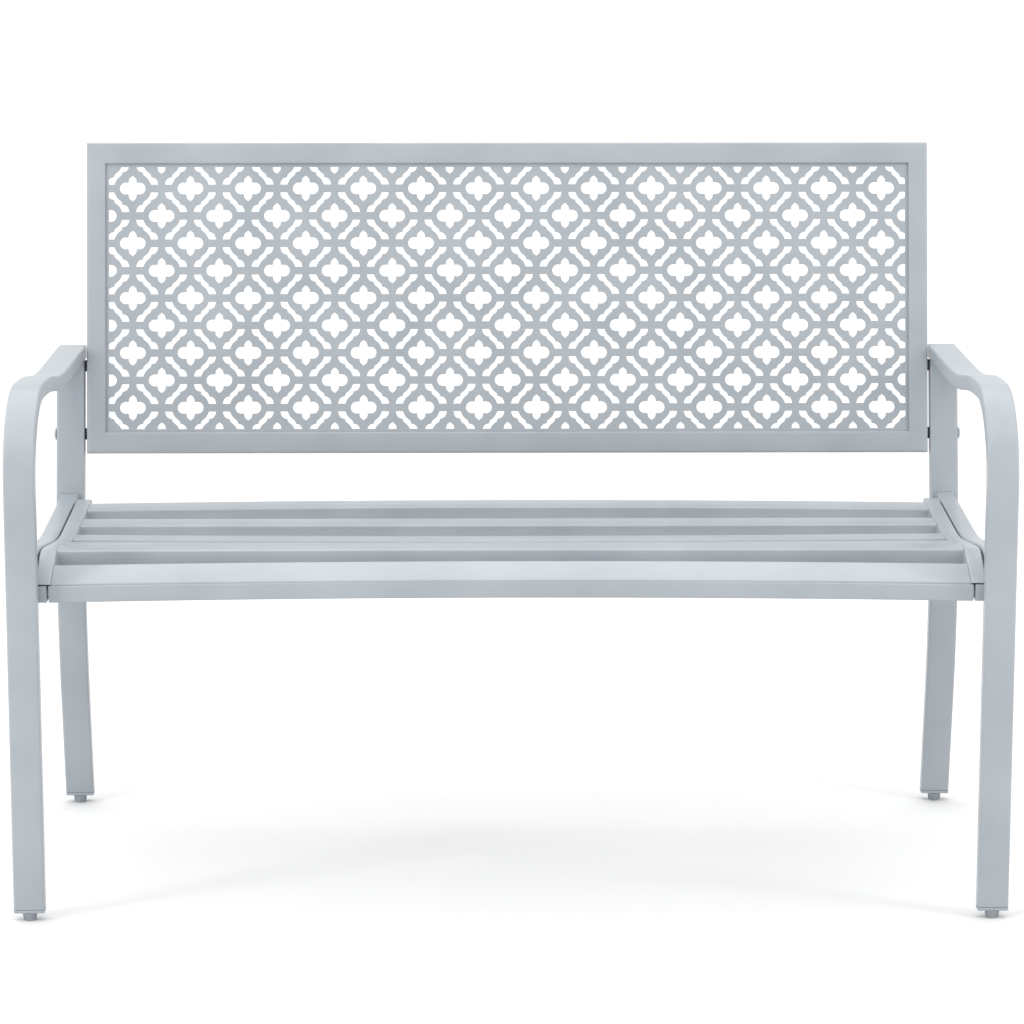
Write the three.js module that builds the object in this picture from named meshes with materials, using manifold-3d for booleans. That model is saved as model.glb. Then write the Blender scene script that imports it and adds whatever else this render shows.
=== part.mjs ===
// Two-seat garden bench of rectangular steel tube: two side frames with arms, a bolted-in slatted seat,
// a bolted-in back panel with a pierced sheet, and four screw feet.
// Millimetres, +Z up, the sitter looks along -Y. The origin is on the floor under the middle of the bench.
import * as THREE from "three";
import { mergeGeometries, mergeVertices } from "three/addons/utils/BufferGeometryUtils.js";
import Module from "manifold-3d";

const wasm = await Module();
wasm.setup();

// ---- Driving dimensions -------------------------------------------------------------------------------
// y is measured back from the front legs' front face, z up from the floor.
const benchWidth = 1190; // over the side frames
const gap = 0.3; // between two pieces that are welded or pressed together
const wall = 1.5; // of every tube

const roundSides = 12; // of round pieces
const frame = { wide: 37, thick: 19, corner: 3, rounds: 2 }; // tube of the legs and arms
const arm = { crest: 633, bend: 110, dip: 615, dipY: 370, rear: 617, rearY: 580 };
const rearLeg = { kneeY: 496.5, kneeZ: 296, kick: 11.7, recline: 12.5, bendBelow: 146, bendAbove: 109 };

const rail = { wide: 20, thick: 20, corner: 2.5 }; // tube of the seat's end rails
const sideRail = { wide: 22, thick: 20, corner: 2.5 }; // tube between the legs of a side frame
const railGap = 2; // between a side rail and the seat's end rail
const slat = { wide: 40, thick: 20, corner: 2.5 };
const slatPitch = 82.5;
const seatCrest = 434.6; // top of the first flat slat
const firstSlatY = 105;
const seatDrop = [0, 9.8, 17.9, 14.6, 9.6]; // how far each flat slat lies below the crest
const slatCrown = [1, -1.5, -2.5, 0, 4]; // how far each flat slat bows up in the middle
const nose = { drop: 19.4, clear: 1.57, tilt: 25, crown: 5 }; // front slat: below the crest, behind the legs
const beam = { wide: 20, thick: 20, corner: 2, crown: 5, under: 2 }; // under: below the nose's front edge
const railTail = 43; // end rail behind the last slat's middle
const railShoulder = { ahead: 10, drop: 2 }; // where the end rail rounds over behind the nose
const sideRailDrop = 5; // front end of a side rail below the seat's crest
const bracket = { reach: 9, endWall: 3 }; // inwards from the leg's inner face
const seatBolt = { head: 5.5, headHigh: 4, chamfer: 0.8, grip: 12 };

const panel = { height: 410, depth: 20, rail: 28, stile: 25, corner: 2.5, recline: 10.8 };
const panelGap = 3; // between the back panel and an upright
const panelRise = 43.4; // of the panel's lower edge above the seat's crest
const panelAhead = 1.5; // of its middle plane before the upright's, midway between the bolts
const boltUp = 26; // of the lower bolts from the panel's lower edge
const boltUnderArm = 6.05; // of the upper bolts from the arm's underside

const sheet = { thick: 2, recess: 4, border: 4 }; // pierced sheet: its place behind the panel's face
const pattern = { pitch: 76.1, row: 36.2, flower: 17.2, slotWide: 9.4, slotX: 14.6, slotZ: 13 };

const bolt = { radius: 3, head: 8, headHigh: 3.6, clear: 0.4 };
const spacer = { radius: 7.5 };
const insert = { radius: 5, bulge: 6.5, bulgeLong: 2, length: 13 };
const washer = { radius: 7 };
const bracketGap = 2.4; // between a seat bracket and a beam, filled by the washer
const capEnd = { flange: 4, plug: 13, slack: 0.3, corner: 0.8, armFace: 2 };
const foot = { height: 9.6, top: 8.8, bottom: 4.7, lip: 1.4, socket: 3, studLength: 33, clear: 0.4 };

// ---- Finishes -----------------------------------------------------------------------------------------
const coat = new THREE.MeshStandardMaterial({ color: 0xbcc2c7, roughness: 0.45, metalness: 0.1 });
const zinc = new THREE.MeshStandardMaterial({ color: 0xa9adb2, roughness: 0.35, metalness: 0.9 });
const rubber = new THREE.MeshStandardMaterial({ color: 0x1b1d20, roughness: 0.8, metalness: 0 });
const plastic = new THREE.MeshStandardMaterial({ color: 0x9aa1a7, roughness: 0.6, metalness: 0 });

// ---- Places that follow from the sizes ----------------------------------------------------------------
const rad = THREE.MathUtils.degToRad;
const legX = benchWidth / 2 - frame.wide / 2; // middle of a leg
const legInnerX = benchWidth / 2 - frame.wide;
const sideRailInnerX = legX - sideRail.wide / 2;
const endRailX = sideRailInnerX - railGap - rail.wide / 2;
const slatHalf = endRailX - rail.wide / 2 - gap;
const legBottom = foot.height + foot.clear + capEnd.flange + gap;
const clearHole = bolt.radius + bolt.clear;
const bracketInnerX = legInnerX - bracket.reach;
const beamHalf = bracketInnerX - bracketGap;
const beamY = frame.thick + gap + beam.wide / 2; // behind the front legs
const noseY = frame.thick + gap + nose.clear + (Math.cos(rad(nose.tilt)) * slat.wide) / 2;
const slatY = slatCrown.map((_, i) => firstSlatY + i * slatPitch);
const lastSlatY = slatY[slatY.length - 1];
const railEndY = lastSlatY + railTail;
const rearBeamY = railEndY - beam.wide / 2 - gap;

const uprightY = (z) => rearLeg.kneeY + (z - rearLeg.kneeZ) * Math.tan(rad(rearLeg.recline));
const shinY = (z) => rearLeg.kneeY + (rearLeg.kneeZ - z) * Math.tan(rad(rearLeg.kick));

const lean = rad(panel.recline);
const panelHalf = legInnerX - panelGap;
const panelZ = seatCrest + panelRise;
const boltTop = (arm.rear - frame.thick - boltUnderArm - panelZ) / Math.cos(lean);
const boltHeights = [boltUp, boltTop];
const boltMiddle = (boltUp + boltTop) / 2;
const panelY = uprightY(panelZ + boltMiddle * Math.cos(lean)) - panelAhead - boltMiddle * Math.sin(lean);
const boltPlaces = boltHeights.map((h) => [panelY + h * Math.sin(lean), panelZ + h * Math.cos(lean)]);
const depth = panelY + panel.height * Math.sin(lean) + (panel.depth / 2) * Math.cos(lean);

// ---- Solids -------------------------------------------------------------------------------------------
function solidOf(geometry) {
  const plain = geometry.clone();
  plain.deleteAttribute("normal");
  plain.deleteAttribute("uv");
  const merged = mergeVertices(plain, 1e-4);
  const triVerts = new Uint32Array(merged.index.array);
  return new wasm.Manifold(
    new wasm.Mesh({ numProp: 3, vertProperties: merged.attributes.position.array, triVerts }),
  );
}

function geometryOf(solid) {
  const mesh = solid.getMesh();
  const geometry = new THREE.BufferGeometry();
  geometry.setAttribute("position", new THREE.BufferAttribute(mesh.vertProperties, 3));
  geometry.setIndex(new THREE.BufferAttribute(mesh.triVerts, 1));
  return geometry;
}

// Points of a 2-D path, as short vectors: lines keep their ends only, curves are divided.
function pointsOf(path, divisions) {
  return path.getPoints(divisions).filter((p, i, all) => i === 0 || p.distanceTo(all[i - 1]) > 0.01);
}

// The line moved sideways by d, with its ends moved on by `past`.
function beside(line, d, past) {
  const last = line.length - 1;
  return line.map((p, i) => {
    const before = p.clone().sub(line[Math.max(i - 1, 0)]).normalize();
    const after = line[Math.min(i + 1, last)].clone().sub(p).normalize();
    const along = before.clone().add(after).normalize();
    const stretch = i === 0 || i === last ? 1 : along.dot(after);
    const end = i === 0 ? -past : i === last ? past : 0;
    return new THREE.Vector2(
      p.x - (along.y * d) / stretch + along.x * end,
      p.y + (along.x * d) / stretch + along.y * end,
    );
  });
}

// A bar bent in its own x-y plane along `line`, `thick` in the plane and `wide` along z.
function bar(line, { thick, wide, corner, rounds = 1 }, past = 0) {
  const outline = [...beside(line, -thick / 2, past), ...beside(line, thick / 2, past).reverse()];
  const geometry = new THREE.ExtrudeGeometry(new THREE.Shape(outline), {
    depth: wide - 2 * corner,
    bevelEnabled: corner > 0,
    bevelThickness: corner,
    bevelSize: corner,
    bevelOffset: -corner,
    bevelSegments: rounds,
  });
  geometry.translate(0, 0, corner - wide / 2);
  return solidOf(geometry);
}

// The same bar as a tube, open at both ends.
function tube(line, size) {
  const inside = { thick: size.thick - 2 * wall, wide: size.wide - 2 * wall, corner: 0 };
  return bar(line, size).subtract(bar(line, inside, 5));
}

const grown = (size, by) => ({ ...size, thick: size.thick + 2 * by, wide: size.wide + 2 * by });

function box(x0, x1, y0, y1, z0, z1) {
  const geometry = new THREE.BoxGeometry(x1 - x0, y1 - y0, z1 - z0);
  geometry.translate((x0 + x1) / 2, (y0 + y1) / 2, (z0 + z1) / 2);
  return solidOf(geometry);
}

// A round bar along z from z0 to z1.
function rod(radius, z0, z1, x = 0, y = 0) {
  const geometry = new THREE.CylinderGeometry(radius, radius, z1 - z0, roundSides);
  geometry.rotateX(Math.PI / 2);
  geometry.translate(x, y, (z0 + z1) / 2);
  return solidOf(geometry);
}

// A turned piece about the z axis. The profile's points are [radius, height]: it runs up from the axis
// and back to it, or round a ring.
function turned(profile) {
  const closed = profile[0][0] > 0 ? [...profile, profile[0]] : profile;
  const points = closed.map(([r, h]) => new THREE.Vector2(r, h));
  const geometry = new THREE.LatheGeometry(points, roundSides);
  geometry.rotateX(Math.PI / 2);
  return solidOf(geometry);
}

const ring = (inner, outer, low, high) => turned([[inner, low], [outer, low], [outer, high], [inner, high]]);

// ---- Lines that the tubes follow ----------------------------------------------------------------------
const half = frame.thick / 2;

function armLine() {
  const bend = arm.bend - half;
  const path = new THREE.Path();
  path.moveTo(half, legBottom);
  path.lineTo(half, arm.crest - arm.bend);
  path.absarc(arm.bend, arm.crest - arm.bend, bend, Math.PI, Math.PI / 2, true);
  const reach = (arm.dipY - arm.bend) / 2;
  const dipZ = arm.dip - half;
  path.bezierCurveTo(arm.bend + reach, arm.crest - half, arm.dipY - reach, dipZ, arm.dipY, dipZ);
  path.lineTo(arm.rearY, arm.rear - half);
  return pointsOf(path, 8);
}

function rearLegLine() {
  const low = legBottom - 10;
  const high = arm.rear;
  const bendLow = rearLeg.kneeZ - rearLeg.bendBelow;
  const bendHigh = rearLeg.kneeZ + rearLeg.bendAbove;
  const path = new THREE.Path();
  path.moveTo(shinY(low), low);
  path.lineTo(shinY(bendLow), bendLow);
  path.quadraticCurveTo(rearLeg.kneeY, rearLeg.kneeZ, uprightY(bendHigh), bendHigh);
  path.lineTo(uprightY(high), high);
  return pointsOf(path, 8);
}

// The seat's top line, through the slats' middles. It flattens out behind the last slat.
const noseTop = new THREE.Vector2(noseY, seatCrest - nose.drop);
const noseDirection = new THREE.Vector2(Math.cos(rad(nose.tilt)), Math.sin(rad(nose.tilt)));
const [lastDrop, nextDrop] = [...seatDrop].reverse();
const tailSlope = (0.8 * (nextDrop - lastDrop)) / slatPitch;
const seatHeight = (y) => seatCrest - lastDrop + (y - lastSlatY) * tailSlope;
const seatMiddle = slatY.map((y, i) => new THREE.Vector2(y, seatCrest - seatDrop[i]));
const seatRear = (y) => new THREE.Vector2(y, seatHeight(y));

function underneath(curve, divisions, thick) {
  return beside(curve.getPoints(divisions), -thick / 2, 0);
}

function endRailLine() {
  const front = noseTop.clone().addScaledVector(noseDirection, -slat.wide / 2);
  const back = noseTop.clone().addScaledVector(noseDirection, slat.wide / 2);
  const shoulderY = (back.x + 2 * firstSlatY) / 3 - railShoulder.ahead;
  const shoulder = new THREE.Vector2(shoulderY, seatCrest - railShoulder.drop);
  const points = [front, noseTop, back, shoulder, ...seatMiddle, seatRear(railEndY)];
  return underneath(new THREE.SplineCurve(points), 22, rail.thick);
}

function sideRailLine() {
  const front = new THREE.Vector2(frame.thick + gap, seatCrest - sideRailDrop);
  const rear = seatRear(uprightY(seatCrest));
  return underneath(new THREE.SplineCurve([front, ...seatMiddle, rear]), 16, sideRail.thick);
}

// A crowned line across the bench, in its own x-y plane.
function crownLine(halfLength, crown) {
  const parts = crown === 0 ? 1 : 6;
  return Array.from({ length: parts + 1 }, (_, i) => {
    const t = (2 * i) / parts - 1;
    return new THREE.Vector2(t * halfLength, crown * (1 - t * t));
  });
}

// ---- The bench ----------------------------------------------------------------------------------------
const bench = new THREE.Group();
const standing = new THREE.Group(); // holds what is placed by y from the legs' front face
standing.position.y = -depth / 2;
bench.add(standing);

function add(name, solid, material, parent = standing) {
  const mesh = new THREE.Mesh(geometryOf(solid), material);
  mesh.name = name;
  parent.add(mesh);
  return mesh;
}

const sides = [
  { name: "left", sign: -1 },
  { name: "right", sign: 1 },
];
const acrossX = [Math.PI / 2, Math.PI / 2, 0]; // turns a piece's x, y, z to the bench's y, z, x
const alongX = [Math.PI / 2, 0, 0]; // turns a piece's x, y to the bench's x, z

// A group whose z axis is the bench's x axis, pointing outwards on either side.
function outward(sign, x, y, z) {
  const group = new THREE.Group();
  group.position.set(sign * x, y, z);
  group.rotation.y = (sign * Math.PI) / 2;
  standing.add(group);
  return group;
}

// Side frames.
const boltHoles = boltPlaces.map(([y, z]) => rod(clearHole, -frame.wide, frame.wide, y, z));
const rearLegShape = rearLegLine();

function rearLegSolid() {
  const far = 2 * depth;
  const armUnderside = arm.rear - frame.thick - gap;
  const under = box(0, far, legBottom - far, legBottom, -far, far);
  const over = box(0, far, armUnderside, armUnderside + far, -far, far);
  let solid = tube(rearLegShape, frame).subtract(under).subtract(over);
  for (const hole of boltHoles) solid = solid.subtract(hole);
  return solid;
}

const armSolid = tube(armLine(), frame);
const rearSolid = rearLegSolid();
const uprightRoom = bar(rearLegShape, { ...grown(frame, gap), corner: 0 });
const sideRailSolid = tube(sideRailLine(), sideRail).subtract(uprightRoom);

for (const { name, sign } of sides) {
  for (const [piece, solid] of [
    ["front_leg_and_arm", armSolid],
    ["rear_leg", rearSolid],
    ["seat_side_rail", sideRailSolid],
  ]) {
    const mesh = add(`${piece}_${name}`, solid, coat);
    mesh.rotation.set(...acrossX);
    mesh.position.x = sign * legX;
  }
}

// Seat brackets: short box tubes with a drilled inner end, under the side rails.
const bracketLength = legX + sideRail.wide / 2 - bracketInnerX;
const railRise = Math.abs(tailSlope) * beam.wide; // of the end rail over the rear beam
const rearBeamZ = seatHeight(rearBeamY) - rail.thick - railRise - gap - beam.thick / 2;
const noseLow = noseTop.y - Math.sin(rad(nose.tilt)) * (slat.wide / 2);
const frontBeamZ = noseLow - beam.under - beam.thick / 2;
const beamPlaces = [
  { end: "front", y: beamY, z: frontBeamZ, crown: beam.crown },
  { end: "rear", y: rearBeamY, z: rearBeamZ, crown: 0 },
];

function bracketSolid() {
  const { endWall } = bracket;
  const line = [new THREE.Vector2(0, 0), new THREE.Vector2(bracketLength, 0)];
  const outside = { thick: beam.wide, wide: beam.thick, corner: beam.corner }; // turned with the piece
  const inside = { thick: beam.wide - 2 * wall, wide: beam.thick - 2 * wall, corner: 0 };
  const room = [new THREE.Vector2(endWall, 0), new THREE.Vector2(2 * bracketLength, 0)];
  const geometry = geometryOf(bar(line, outside).subtract(bar(room, inside)));
  geometry.rotateY(-Math.PI / 2);
  return solidOf(geometry).subtract(rod(clearHole, -endWall, 2 * endWall));
}

function seatBoltSolid() {
  const { radius } = bolt;
  const { head, headHigh, chamfer, grip } = seatBolt;
  const reach = -(bracket.endWall + bracketGap + grip);
  const shank = [[0, reach], [radius, reach], [radius, 0]];
  return turned([...shank, [head, 0], [head, headHigh - chamfer], [head - chamfer, headHigh], [0, headHigh]]);
}

const washerSolid = ring(clearHole, washer.radius, gap, bracketGap - gap);
const bracketPiece = bracketSolid();
const seatBoltPiece = seatBoltSolid();

for (const { end, y, z } of beamPlaces) {
  for (const { name, sign } of sides) {
    const at = outward(sign, bracketInnerX, y, z);
    add(`seat_bracket_${end}_${name}`, bracketPiece, coat, at);
    const screw = add(`seat_bolt_${end}_${name}`, seatBoltPiece, zinc, at);
    screw.position.z = bracket.endWall + gap;
    const pad = add(`seat_washer_${end}_${name}`, washerSolid, plastic, at);
    pad.position.z = -bracketGap;
  }
}

// Seat beams: tubes with drilled ends, under the end rails.
function beamSolid(crown) {
  const inner = { thick: beam.thick - 2 * wall, wide: beam.wide - 2 * wall, corner: 0 };
  const outer = bar(crownLine(beamHalf, crown), beam);
  const solid = outer.subtract(bar(crownLine(beamHalf, crown), inner, -bracket.endWall));
  const drilled = 2 * bracket.endWall;
  const geometry = geometryOf(rod(clearHole, -beamHalf - drilled, -beamHalf + drilled));
  geometry.rotateY(Math.PI / 2);
  const hole = solidOf(geometry);
  return solid.subtract(hole).subtract(hole.mirror([1, 0, 0]));
}

for (const { end, y, z, crown } of beamPlaces) {
  const mesh = add(`seat_beam_${end}`, beamSolid(crown), coat);
  mesh.rotation.set(...alongX);
  mesh.position.set(0, y, z);
}

// End rails, coped over the front beam and its bracket.
const beamRoom = grown(beam, gap);
const copeFront = new THREE.Vector2(-slat.wide, frontBeamZ);
const copeRear = new THREE.Vector2(beamY + beamRoom.wide / 2, frontBeamZ);
const cope = bar([copeFront, copeRear], { thick: beamRoom.thick, wide: 2 * rail.wide, corner: 0 });
const endRailSolid = tube(endRailLine(), rail).subtract(cope);
for (const { name, sign } of sides) {
  const mesh = add(`seat_end_rail_${name}`, endRailSolid, coat);
  mesh.rotation.set(...acrossX);
  mesh.position.x = sign * endRailX;
}

// Flat slats, each square to the seat's line.
const seatCurve = new THREE.SplineCurve([...seatMiddle, seatRear(railEndY)]);
slatY.forEach((y, i) => {
  const t = i / (seatCurve.points.length - 1);
  const direction = i === 0 ? new THREE.Vector2(1, 0) : seatCurve.getTangent(t);
  const tilt = Math.atan2(direction.y, direction.x);
  const mesh = add(`seat_slat_${i + 2}`, tube(crownLine(slatHalf, slatCrown[i]), slat), coat);
  mesh.rotation.set(Math.PI / 2 + tilt, 0, 0);
  const middle = slat.thick / 2;
  mesh.position.set(0, y + Math.sin(tilt) * middle, seatCrest - seatDrop[i] - Math.cos(tilt) * middle);
});

// The front slat turns down over the front beam, which it is coped to.
function noseSolid() {
  const tilt = rad(nose.tilt);
  const raw = geometryOf(tube(crownLine(slatHalf, nose.crown), slat));
  raw.rotateX(Math.PI / 2 + tilt);
  const middle = slat.thick / 2;
  raw.translate(0, noseTop.x + Math.sin(tilt) * middle, noseTop.y - Math.cos(tilt) * middle);
  const room = geometryOf(bar(crownLine(beamHalf, beam.crown), { ...beamRoom, corner: 0 }));
  room.rotateX(Math.PI / 2);
  room.translate(0, beamY, frontBeamZ);
  return solidOf(raw).subtract(solidOf(room));
}
add("seat_slat_1_nose", noseSolid(), coat);

// Back panel: a frame of box tube with the pierced sheet let into it.
const back = new THREE.Group();
back.position.set(0, panelY, panelZ);
back.rotation.x = -lean;
standing.add(back);

const straight = (length) => [new THREE.Vector2(-length / 2, 0), new THREE.Vector2(length / 2, 0)];
const panelRail = { thick: panel.rail, wide: panel.depth, corner: panel.corner };
const panelStile = { thick: panel.stile, wide: panel.depth, corner: panel.corner };

// A slab across the panel whose outline, in the panel's x-z plane, is the given points.
function slab(points, front, rear) {
  const outline = points.map(([x, z]) => new THREE.Vector2(x, z));
  const geometry = new THREE.ExtrudeGeometry(new THREE.Shape(outline), {
    depth: rear - front,
    bevelEnabled: false,
  });
  geometry.rotateX(Math.PI / 2);
  geometry.translate(0, rear, 0);
  return solidOf(geometry);
}

// The corners are mitred: each member keeps what lies inside its own trapezium.
const miter = 1.5 * gap;
function railSolid() {
  const outer = panelHalf - miter;
  const inner = panelHalf - panel.stile - miter;
  const geometry = geometryOf(tube(straight(2 * panelHalf), panelRail));
  geometry.rotateX(Math.PI / 2);
  geometry.translate(0, 0, panel.rail / 2);
  const high = panel.rail;
  const keep = [[-outer, 0], [outer, 0], [inner, high], [-inner, high]];
  return solidOf(geometry).intersect(slab(keep, -panel.depth, panel.depth));
}

function stileSolid() {
  const geometry = geometryOf(tube(straight(panel.height), panelStile));
  geometry.rotateZ(Math.PI / 2);
  geometry.rotateX(Math.PI / 2);
  geometry.translate(panelHalf - panel.stile / 2, 0, panel.height / 2);
  const inner = panelHalf - panel.stile;
  const keep = [
    [panelHalf, 0],
    [panelHalf + gap, 0],
    [panelHalf + gap, panel.height],
    [panelHalf, panel.height],
    [inner, panel.height - panel.rail],
    [inner, panel.rail],
  ];
  let solid = solidOf(geometry).intersect(slab(keep, -panel.depth, panel.depth));
  for (const height of boltHeights) {
    const hole = geometryOf(rod(insert.radius + gap, panelHalf - 2 * wall, panelHalf + wall));
    hole.rotateY(Math.PI / 2);
    hole.translate(0, 0, height);
    solid = solid.subtract(solidOf(hole));
  }
  return solid;
}

const panelMember = railSolid();
add("back_rail_bottom", panelMember, coat, back);
const topRail = add("back_rail_top", panelMember, coat, back);
topRail.rotation.y = Math.PI;
topRail.position.z = panel.height;

const stile = stileSolid();
add("back_stile_right", stile, coat, back);
const leftStile = add("back_stile_left", stile, coat, back);
leftStile.rotation.z = Math.PI;

// The pierced sheet: rows of flower openings, with a slot between each flower and its diagonal neighbours.
// The pattern is cut off straight at a plain border.
function openings() {
  const { pitch, row, flower, slotWide, slotX, slotZ } = pattern;
  const rows = Math.ceil(panel.height / 2 / row);
  const columns = Math.ceil(panelHalf / pitch);
  const found = [];
  for (let j = -rows; j <= rows; j++) {
    for (let i = -columns; i <= columns; i++) {
      const x = (i + (j % 2 === 0 ? 0.5 : 0)) * pitch;
      const z = j * row;
      found.push([[x - flower, z], [x, z - flower], [x + flower, z], [x, z + flower]]);
      for (const side of [-1, 1]) {
        const u = x + (side * pitch) / 4;
        const v = z + row / 2;
        found.push([
          [u - side * slotX, v + slotZ],
          [u - side * (slotX - slotWide), v + slotZ],
          [u + side * slotX, v - slotZ],
          [u + side * (slotX - slotWide), v - slotZ],
        ]);
      }
    }
  }
  const through = { depth: 3 * sheet.thick, bevelEnabled: false };
  const holes = found.map((points) => {
    const outline = points.map(([x, z]) => new THREE.Vector2(x, z));
    const hole = new THREE.ExtrudeGeometry(new THREE.Shape(outline), through);
    hole.translate(0, 0, -sheet.thick);
    return hole;
  });
  return solidOf(mergeGeometries(holes));
}

function sheetSolid() {
  const x = panelHalf - panel.stile - gap;
  const y = panel.height / 2 - panel.rail - gap;
  const room = sheet.border - gap;
  const windowBox = box(-x + room, x - room, -y + room, y - room, -sheet.thick, 2 * sheet.thick);
  const solid = box(-x, x, -y, y, 0, sheet.thick).subtract(openings().intersect(windowBox));
  const geometry = geometryOf(solid);
  geometry.rotateX(Math.PI / 2);
  geometry.translate(0, sheet.thick, 0);
  return solidOf(geometry);
}

const pierced = add("back_pierced_sheet", sheetSolid(), coat, back);
pierced.position.set(0, sheet.recess - panel.depth / 2, panel.height / 2);

// Back bolts: from outside, through the upright and a spacer, into an insert in the panel's stile.
function backBoltSolid() {
  const { radius, head, headHigh } = bolt;
  const reach = -(frame.wide + panelGap + insert.length) + wall;
  const dome = [[head, 0], [head, 0.3 * headHigh], [0.8 * head, 0.75 * headHigh], [0.4 * head, headHigh]];
  return turned([[0, reach], [radius, reach], [radius, 0], ...dome, [0, headHigh]]);
}

function insertSolid() {
  const { radius, bulge, bulgeLong, length } = insert;
  const inWall = -(wall + gap);
  const low = -length;
  return turned([
    [clearHole, low],
    [radius, low],
    [radius, inWall - bulgeLong - 1],
    [bulge, inWall - bulgeLong],
    [bulge, inWall],
    [radius, inWall],
    [radius, -gap],
    [clearHole, -gap],
  ]);
}

const backBolt = backBoltSolid();
const backSpacer = ring(clearHole, spacer.radius, gap, panelGap - gap);
const backInsert = insertSolid();
boltPlaces.forEach(([y, z], i) => {
  const level = ["lower", "upper"][i];
  for (const { name, sign } of sides) {
    const at = outward(sign, panelHalf, y, z);
    const screw = add(`back_bolt_${level}_${name}`, backBolt, coat, at);
    screw.position.z = panelGap + frame.wide + gap;
    add(`back_spacer_${level}_${name}`, backSpacer, rubber, at);
    add(`back_insert_${level}_${name}`, backInsert, zinc, at);
  }
});

// Arm ends: a plug in the open rear end of each arm.
const tubeInside = {
  wide: frame.wide - 2 * wall - 2 * capEnd.slack,
  thick: frame.thick - 2 * wall - 2 * capEnd.slack,
  corner: 0,
};
const armSlope = Math.atan2(arm.rear - arm.dip, arm.rearY - arm.dipY);
const armFace = [new THREE.Vector2(gap, 0), new THREE.Vector2(capEnd.armFace, 0)];
const armTongue = [new THREE.Vector2(-capEnd.plug, 0), new THREE.Vector2(capEnd.armFace / 2, 0)];
const armPlug = bar(armFace, { ...frame, corner: capEnd.corner }).add(bar(armTongue, tubeInside));
for (const { name, sign } of sides) {
  const holder = new THREE.Group();
  holder.position.set(sign * legX, arm.rearY, arm.rear - half);
  holder.rotation.x = armSlope;
  standing.add(holder);
  const mesh = add(`arm_end_plug_${name}`, armPlug, plastic, holder);
  mesh.rotation.set(...acrossX);
}

// Feet: a cap in each leg's end, and a pad on a stud that screws up into the cap.
function legCapSolid(kick) {
  const slope = Math.tan(rad(kick));
  const low = legBottom - gap - capEnd.flange;
  const flangeTop = legBottom - gap;
  const long = frame.thick / Math.cos(rad(kick));
  const flange = bar([new THREE.Vector2(-long / 2, 0), new THREE.Vector2(long / 2, 0)], {
    thick: capEnd.flange,
    wide: frame.wide,
    corner: capEnd.corner,
  });
  const top = flangeTop + capEnd.plug;
  const width = tubeInside.thick / Math.cos(rad(kick)) / 2;
  const outline = [
    new THREE.Vector2(-width + slope, flangeTop - 1),
    new THREE.Vector2(width + slope, flangeTop - 1),
    new THREE.Vector2(width - slope * capEnd.plug, top),
    new THREE.Vector2(-width - slope * capEnd.plug, top),
  ];
  const plug = new THREE.ExtrudeGeometry(new THREE.Shape(outline), {
    depth: tubeInside.wide,
    bevelEnabled: false,
  });
  plug.translate(0, 0, -tubeInside.wide / 2);
  const base = geometryOf(flange);
  base.translate(0, low + capEnd.flange / 2, 0);
  const whole = geometryOf(solidOf(base).add(solidOf(plug)));
  whole.rotateX(Math.PI / 2);
  whole.rotateZ(Math.PI / 2);
  const studHole = rod(clearHole, low - 1, top + 1, 0, -(slope * capEnd.plug) / 2);
  return solidOf(whole).subtract(studHole);
}

const padSolid = turned([
  [0, 0],
  [foot.bottom, 0],
  [foot.top, foot.height - foot.lip],
  [foot.top, foot.height],
  [clearHole, foot.height],
  [clearHole, foot.socket - gap],
  [0, foot.socket - gap],
]);
const studSolid = rod(bolt.radius, foot.socket, foot.socket + foot.studLength);

for (const { end, y, kick } of [
  { end: "front", y: half, kick: 0 },
  { end: "rear", y: shinY(legBottom), kick: rearLeg.kick },
]) {
  const cap = legCapSolid(kick);
  const footY = y - (Math.tan(rad(kick)) * capEnd.plug) / 2;
  for (const { name, sign } of sides) {
    add(`leg_cap_${end}_${name}`, cap, plastic).position.set(sign * legX, y, 0);
    add(`foot_stud_${end}_${name}`, studSolid, zinc).position.set(sign * legX, footY, 0);
    add(`foot_pad_${end}_${name}`, padSolid, plastic).position.set(sign * legX, footY, 0);
  }
}

export default bench;
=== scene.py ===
import math

import bmesh
import bpy
from mathutils import Matrix, Vector
from mathutils.geometry import interpolate_bezier


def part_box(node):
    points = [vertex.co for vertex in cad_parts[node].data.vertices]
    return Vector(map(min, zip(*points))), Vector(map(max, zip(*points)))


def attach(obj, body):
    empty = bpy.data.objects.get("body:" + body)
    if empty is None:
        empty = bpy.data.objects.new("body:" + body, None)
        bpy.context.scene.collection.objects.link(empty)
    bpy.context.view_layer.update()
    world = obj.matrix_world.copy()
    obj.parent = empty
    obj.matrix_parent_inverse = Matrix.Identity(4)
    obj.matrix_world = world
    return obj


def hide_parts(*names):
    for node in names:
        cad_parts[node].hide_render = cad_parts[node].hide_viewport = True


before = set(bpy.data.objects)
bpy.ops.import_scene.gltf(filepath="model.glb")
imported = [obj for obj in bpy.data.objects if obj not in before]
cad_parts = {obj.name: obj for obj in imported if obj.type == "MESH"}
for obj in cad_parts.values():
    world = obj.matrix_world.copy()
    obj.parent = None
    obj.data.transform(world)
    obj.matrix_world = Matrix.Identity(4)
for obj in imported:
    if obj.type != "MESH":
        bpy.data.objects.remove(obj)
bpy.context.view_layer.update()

# Garden bench of powder coated steel tube. Shapes are worked out in millimetres, y back from the front
# face of the legs and z up from the floor, and scaled to metres when a piece is finished.
legLow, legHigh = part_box("front_leg_and_arm_right")
frontFace = legLow.y * 1000
legX = (legLow.x + legHigh.x) * 500
acrossX = Matrix(((0, 0, 1, 0), (1, 0, 0, frontFace), (0, 1, 0, 0), (0, 0, 0, 1)))  # plan x, y to bench y, z
alongX = Matrix.Rotation(math.radians(90), 4, "X")  # plan x, y to bench x, z
sides = {"left": -1, "right": 1}


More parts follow.
